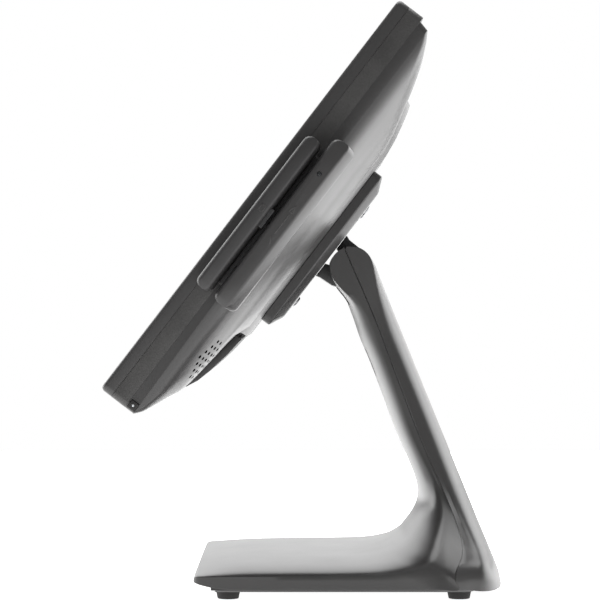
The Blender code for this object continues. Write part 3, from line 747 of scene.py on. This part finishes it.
# Sound holes: rows of round drills, which are then stretched across
GRILLE_X, GRILLE_UP = 149, 49.5
GRILLE_ROWS = (2, 3, 4, 5, 4, 3, 2)
HOLE_PITCH, HOLE_RADIUS, HOLE_STRETCH = 4.5, 1.2, 1.65
SHADE_SHEET_SINK = 0.08  # how far the black sheet, painted shade for the sound holes, lies under the skin

# Contours of the back: distance behind the front, lower and upper edge, half width, corner
BACK = [
    (18.4, -1.5, 290.6, 180, 4.5),
    (25, -1.5, 289, 180, 4.5),
    (28, 2, 284.5, 179, 8),
    (31.5, 9.5, 278, 175, 13),
    (35, 18, 270.5, 166, 17),
    (38.5, 25.6, 260, 153, 18),
    (41.5, 48, 249, 140, 16),
    (44, 71, 239.5, 131, 16),
    (46, 77, 231.5, 122, 18),
    (47.5, 81, 222, 112, 20),
]


def bezel():
    """The frame round the glass, with a soft front edge."""
    w, h = HEAD_W / 2, HEAD_H / 2
    profile = [(8.05, 0.15), (7.95, 0), (7, 0), (2.6, 0), (1.6, 0.2), (0.8, 0.7), (0.3, 1.3), (0, 2.1)]
    profile += [(0, 2.6), (0.25, 3), (3.1, 3), (3.1, 15), (5, 15), (5, 5.2), (8.05, 5.2)]
    rings = []
    for back, inset in profile:
        rings.append(head_ring(w - inset, h - inset, max(HEAD_CORNER - inset, 1.2), back))
    made = loft("screen_bezel", rings, closed=True)
    return settle(made, HEAD_PLACE, "head", case_satin, "case_plastic", "front_bezel")


def grained_band():
    """The textured band round the head's middle."""
    w, h = HEAD_W / 2, HEAD_H / 2
    profile = [(8.05, 3), (8.05, 0.3), (8.2, 0.1), (8.4, 0), (18.25, 0), (18.36, 0.1), (18.36, 3)]
    rings = [head_ring(w - inset, h - inset, HEAD_CORNER - inset, back) for back, inset in profile]
    made = loft("grained_band", rings, closed=True)
    return settle(made, HEAD_PLACE, "head", band_grain, "textured_plastic", "mid_frame")


def dome_shell():
    """The back's skin through its contours, with its thickness, before any opening is cut."""
    rings = [head_ring(HEAD_W / 2 - 0.15, HEAD_H / 2 - 0.15, HEAD_CORNER, 18.15)]
    for back, low, high, half_x, corner in smooth_rows(BACK, 4, 1):
        rings.append(head_ring(half_x, (high - low) / 2, corner, back, height((low + high) / 2)))
    dome = loft("domed_back", rings, caps=(False, True))
    wall = dome.modifiers.new("wall", "SOLIDIFY")
    wall.thickness = BACK_WALL
    wall.offset = -1
    wall.use_even_offset = True
    wall.use_quality_normals = True
    apply_modifiers(dome)
    return dome


def dome_openings():
    """Cutters for the top vents, the socket bay and the power button."""
    cutters = []
    for x in VENT_MIDDLES:
        low = (x - VENT_HALF, depth(21), height(VENT_LOW))
        high = (x + VENT_HALF, depth(37), height(VENT_HIGH))
        cutters.append(block("vent", low, high, 1.2, 3))
    low, high = (-BAY_HALF, depth(30), height(BAY_LOW)), (BAY_HALF, depth(60), height(BAY_HIGH))
    cutters.append(block("bay", low, high))
    half = 2.9
    low = (174, depth(BUTTON_BACK - half), height(BUTTON_UP - half))
    high = (184, depth(BUTTON_BACK + half), height(BUTTON_UP + half))
    cutters.append(block("hole", low, high, 0.6, 3))
    return cutters


def domed_back():
    """The domed rear cover, and a black sheet under its sound holes that paints the shade inside them."""
    dome = dome_shell()
    # A copy of the skin, cut down to the sound holes and sunk a little: a black sheet of painted shade inside
    # them
    shade_sheet = bpy.data.objects.new("hole_shade_sheet", dome.data.copy())
    bpy.context.scene.collection.objects.link(shade_sheet)
    carve(dome, *dome_openings(), sound_holes(), folded=True)
    carve(shade_sheet, sound_holes(), operation="INTERSECT")
    shade_sheet.data.transform(Matrix.Translation((0, -SHADE_SHEET_SINK, 0)))
    settle(shade_sheet, HEAD_PLACE, "head", hole_shade_black, "case_plastic")
    return settle(dome, HEAD_PLACE, "head", case_satin, "case_plastic", "rear_cover", angle=32)


def sound_holes():
    """Drills for a grille on each side, stretched so that the holes are longer across than high."""
    drills = []
    for side in (-1, 1):
        for row, count in enumerate(GRILLE_ROWS):
            z = height(GRILLE_UP) + (row - len(GRILLE_ROWS) // 2) * HOLE_PITCH
            for i in range(count):
                x = side * (GRILLE_X + (i - (count - 1) / 2) * HOLE_PITCH)
                drills.append(rod("drill", HOLE_RADIUS, (x, depth(32), z), 16, "Y", 12))
    grilles = join(drills)
    for vertex in grilles.data.vertices:
        middle = math.copysign(GRILLE_X, vertex.co.x)
        vertex.co.x = middle + (vertex.co.x - middle) * HOLE_STRETCH
    return grilles


def lids_and_button():
    """The lids on the back with rounded edges, and the power button with its lamp."""
    back = HEAD_PLACE.inverted()
    lid = bevel(copy_node("socket_lid", "cable_cover", back), 0.5, 3, 25)
    settle(lid, HEAD_PLACE, "head", case_dark, "case_plastic", "cable_cover")
    cover = copy_node("service_cover", "system_cover", back)
    for vertex in cover.data.vertices:
        if abs(vertex.co.x) > COVER_SIDE:
            vertex.co.y -= COVER_SINK
    bevel(cover, 0.7, 3, 25)
    settle(cover, HEAD_PLACE, "head", case_satin, "case_plastic", "system_cover")
    button = bevel(copy_node("power_key", "power_button", back), 0.2, 2, 25)
    settle(button, HEAD_PLACE, "power_button", rubber_black, "rubber", "power_button")
    lamp = rod("key_lamp", LAMP_RADIUS, (LAMP_X, depth(BUTTON_BACK), height(BUTTON_UP)), 0.45, "X", 24)
    bevel(lamp, 0.2, 2, 40)
    settle(lamp, HEAD_PLACE, "power_button", frosted_pipe, "light_pipe")


# Card reader

BAR_ROOT, BAR_FACE = 187.4, 205  # the bars' start and end, out from the head's middle plane

# Sections of the two bars: distance out, and place across the bar from -1 at its front to 1 at its back
FRONT_BAR = [(BAR_ROOT, -1), (200.5, -1), (202.6, -0.95), (204, -0.85), (204.8, -0.7), (BAR_FACE, -0.5)]
FRONT_BAR += [(BAR_FACE, 0.3), (204.8, 0.45), (204.2, 0.6), (202, 0.78), (198, 0.92), (193, 0.99)]
FRONT_BAR += [(BAR_ROOT, 1)]
REAR_BAR = [(BAR_ROOT, -1), (198, -1), (201.5, -0.96), (203.6, -0.88), (204.7, -0.75), (BAR_FACE, -0.6)]
REAR_BAR += [(BAR_FACE, 0.2), (204.95, 0.27), (204.6, 0.34), (203.6, 0.42), (193, 0.92), (191, 0.98)]
REAR_BAR += [(BAR_ROOT, 1)]
BAR_END = 4.2  # radius of a bar's ends
BAR_FALL_LENGTH, BAR_FALL = 16, 0.14  # an end leans in over this length, by this share
LAMP_START = (203.4, depth(26.5), height(179.7))
STROKE_WIDTH = 0.6


def reader_bar(name, section, ups, backs):
    """A bar drawn along the head's side, with rounded ends that fall away a little."""
    low, high = ups
    middle, half = (backs[0] + backs[1]) / 2, (backs[1] - backs[0]) / 2
    # Places along the bar, and how far its outline draws in there
    turns = [math.pi / 2 * i / 8 for i in range(9)]
    stations = [(low + BAR_END * (1 - math.cos(a)), BAR_END * (1 - math.sin(a))) for a in turns]
    stations += [(low + BAR_FALL_LENGTH, 0), (high - BAR_FALL_LENGTH, 0)]
    stations += [(high - BAR_END * (1 - math.cos(a)), BAR_END * (1 - math.sin(a))) for a in reversed(turns)]
    rings = []
    for up, pull in stations:
        end = max(0.0, 1 - min(up - low, high - up) / BAR_FALL_LENGTH)
        ring = []
        for x, across in section:
            out = BAR_ROOT + (x - BAR_ROOT) * (1 - BAR_FALL * end**2)
            ring.append((out, depth(middle + across * (half - pull)), height(up)))
        rings.append(ring)
    return loft(name, rings)


def stroke(start, stop):
    """A thin raised line on a bar's face, between two (up, back) points."""
    (up_a, back_a), (up_b, back_b) = start, stop
    deselect()
    bpy.ops.mesh.primitive_cube_add(
        size=1,
        location=(BAR_FACE + 0.05, depth((back_a + back_b) / 2), height((up_a + up_b) / 2)),
        rotation=(-math.atan2(back_b - back_a, up_b - up_a), 0, 0),
        scale=(0.3, STROKE_WIDTH, math.dist(start, stop) + STROKE_WIDTH),
    )
    made = name_piece("stroke")
    bpy.ops.object.transform_apply()
    return bevel(made, 0.1, 2)


def swipe_marks():
    """Raised pictures on the bars: a card's outline, and an arrow for the swipe."""
    card = [(141.2, 10.6), (141.2, 13.2), (145.2, 13.2), (145.2, 10.6)]
    lines = [(card[i], card[(i + 1) % 4]) for i in range(4)]
    lines += [((156, 27.1), (151.5, 25.6)), ((156, 27.1), (151.5, 28.6)), ((151.5, 25.6), (151.5, 28.6))]
    lines += [((150, 27.1), (136, 27.1)), ((133.5, 25.9), (129.5, 28.3))]
    marks = join([stroke(start, stop) for start, stop in lines])
    marks.name = "swipe_marks"
    settle(marks, HEAD_PLACE, "head", band_grain, "case_plastic")


def card_reader():
    """The two bars with the slot between them, the base that holds them and the lamp."""
    front = reader_bar("reader_front", FRONT_BAR, (84, 195), (6.6, 17.9))
    pocket = block("pocket", (192.7, depth(12), height(133)), (202, depth(19), height(147)))
    carve(front, pocket)
    settle(front, HEAD_PLACE, "head", case_dark, "case_plastic", "reader_front_body", angle=35)
    rear = reader_bar("reader_rear", REAR_BAR, (83, 203.5), (20.5, 36.6))
    carve(rear, rod("lamp_hole", 1.5, LAMP_START, 4, "X", 32))
    settle(rear, HEAD_PLACE, "head", case_satin, "case_plastic", "reader_rear_body", angle=35)
    lens = bevel(rod("reader_lamp", 1.2, LAMP_START, 1.9, "X", 32), 0.5, 3, 40)
    settle(lens, HEAD_PLACE, "head", smoky_lens, "light_pipe", "reader_led")
    base = bevel(copy_node("reader_mount", "reader_base", HEAD_PLACE.inverted()), 0.4, 2, 25)
    settle(base, HEAD_PLACE, "head", case_dark, "case_plastic", "reader_base")
    swipe_marks()


# Mounting plate and hinge


PLATE_HALF, PLATE_UP = 60.5, 149
SCREW_SQUARE = 75


def mount_plate():
    """The plate on the head's back, with sloping sides and four screws."""
    profile = [(50.3, 0.6), (50.6, 0), (56, 0), (56.5, 0.3), (57, 1), (59.8, 7.2), (60.3, 8.2), (60.7, 9.2)]
    profile += [(61, 10.4)]
    middle = height(PLATE_UP)
    rings = []
    for back, inset in profile:
        half = PLATE_HALF - inset
        ring = rounded_rectangle(half, half, max(5 - inset * 0.25, 2.5), 8)
        rings.append([(x, depth(back), middle + z) for x, z in ring])
    plate = loft("tilt_plate", rings)
    settle(plate, HEAD_PLACE, "head", case_satin, "case_plastic", "mounting_plate")
    sides = (-SCREW_SQUARE / 2, SCREW_SQUARE / 2)
    for number, (x, z) in enumerate([(x, z) for z in sides for x in sides], 1):
        pan_screw(number, (x, depth(61.3), middle + z))


def pan_screw(number, place):
    """A low round head with a cross recess."""
    screw = rod(f"pan_screw_{number}", 3.6, place, 0.5, "Y", 36)
    inset_end(screw, "Y", 1, (0.35, 0.45), (0.6, 0.3), (0.9, 0.12))
    x, y, z = place
    cross = block("cross", (x - 0.3, y + 0.4, z - 1.6), (x + 0.3, y + 3, z + 1.6))
    bar = block("bar", (x - 1.6, y + 0.4, z - 0.3), (x + 1.6, y + 3, z + 0.3))
    carve(screw, cross, bar)
    settle(screw, HEAD_PLACE, "head", plated_steel, "steel", f"plate_screw_{number}")


def hinge_bracket():
    """The cast bracket between the plate and the tilt shaft."""
    arm = bevel(copy_node("tilt_bracket", "hinge_bracket", HEAD_PLACE.inverted()), 0.9, 3, 28)
    settle(arm, HEAD_PLACE, "head", powder_black, "black_steel", "hinge_bracket")


bezel()
grained_band()
domed_back()
lids_and_button()
card_reader()
mount_plate()
hinge_bracket()
stand_pieces()


# Finishes of the nodes that stay

KEPT = {
    screen_glass: ["touch_glass"],
    panel_sheet: ["lcd_panel", "lcd_chassis", "io_panel"],
    plated_steel: [
        "lan_socket",
        "usb_socket_left",
        "usb_socket_right",
        "serial_socket",
        "video_socket",
        *[f"base_screw_{number}" for number in range(1, 5)],
        "hinge_shaft",
        "hinge_nut_left",
        "hinge_nut_right",
    ],
    powder_black: [
        "power_socket",
        "speaker_left",
        "speaker_right",
        "friction_washer_left",
        "friction_washer_right",
        "base_weight",
        "upright_frame",
        "read_head",
    ],
    cast_alloy: ["heat_sink"],
    solder_mask: ["mainboard"],
}
for look, names in KEPT.items():
    for name in names:
        slots = nodes[name].data.materials
        slots.clear()
        slots.append(look)


# Stage, lights and camera


CENTRE = (0.0, 0.0, 0.17)
FILL = 0.32  # how bright the surround is as a light, against 1 as the camera sees it


def light(name, place, size, power):
    """A soft rectangular light that faces the object."""
    data = bpy.data.lights.new(name, "AREA")
    data.shape = "RECTANGLE"
    data.size, data.size_y = size
    data.energy = power
    lamp = bpy.data.objects.new(name, data)
    bpy.context.scene.collection.objects.link(lamp)
    lamp.location = place
    lamp.rotation_euler = (Vector(CENTRE) - Vector(place)).to_track_quat("-Z", "Y").to_euler()


def pale_floor():
    """A small lit floor, which fades into the white surround."""
    deselect()
    bpy.ops.mesh.primitive_plane_add(size=3)
    floor = name_piece("floor")
    made, tree, shader = start_material("pale_floor")
    place = add_node(tree, "ShaderNodeTexCoord").outputs["Object"]
    mottle = add_node(tree, "ShaderNodeTexNoise", (), {"Vector": place, "Scale": 3.0, "Detail": 3.0})
    tree.links.new(ramp(tree, mottle.outputs["Fac"], 0.3, 0.7, 0.62, 0.7), shader.inputs["Roughness"])
    shader.inputs["Base Color"].default_value = (0.86, 0.86, 0.86, 1)
    shader.inputs["Emission Color"].default_value = (1, 1, 1, 1)
    shader.inputs["Emission Strength"].default_value = 0.95
    floor.data.materials.append(made)


def surround():
    """A white studio: bright to the camera, dimmer as a light on the object."""
    world = bpy.data.worlds.new("studio")
    bpy.context.scene.world = world
    world.use_nodes = True
    tree = world.node_tree
    back = tree.nodes["Background"]
    seen = add_node(tree, "ShaderNodeLightPath").outputs["Is Camera Ray"]
    back.inputs["Color"].default_value = (1, 1, 1, 1)
    tree.links.new(ramp(tree, seen, 0.0, 1.0, FILL, 1.0), back.inputs["Strength"])


pale_floor()
surround()
light("left_light", (-1.0, -1.7, 0.5), (2.0, 2.0), 42)
light("right_light", (-1.1, 1.7, 0.3), (2.0, 2.0), 36)
light("top_light", (-0.6, 0.0, 2.2), (2.2, 2.2), 50)
light("back_light", (-2.2, 0.0, 0.9), (2.4, 1.6), 22)

CAMERA_DISTANCE, CAMERA_HEIGHT, VIEW_WIDTH = 1.715, 0.19, 0.402
SENSOR = 36
camera_data = bpy.data.cameras.new("camera")
camera_data.sensor_width = SENSOR
camera_data.lens = SENSOR * CAMERA_DISTANCE / VIEW_WIDTH
camera = bpy.data.objects.new("camera", camera_data)
bpy.context.scene.collection.objects.link(camera)
camera.location = (STAND_MIDDLE[0] * MM + CAMERA_DISTANCE, STAND_MIDDLE[1] * MM, CAMERA_HEIGHT)
camera.rotation_euler = (math.pi / 2, 0, math.pi / 2)
bpy.context.scene.camera = camera
bpy.context.scene.view_settings.view_transform = "Standard"
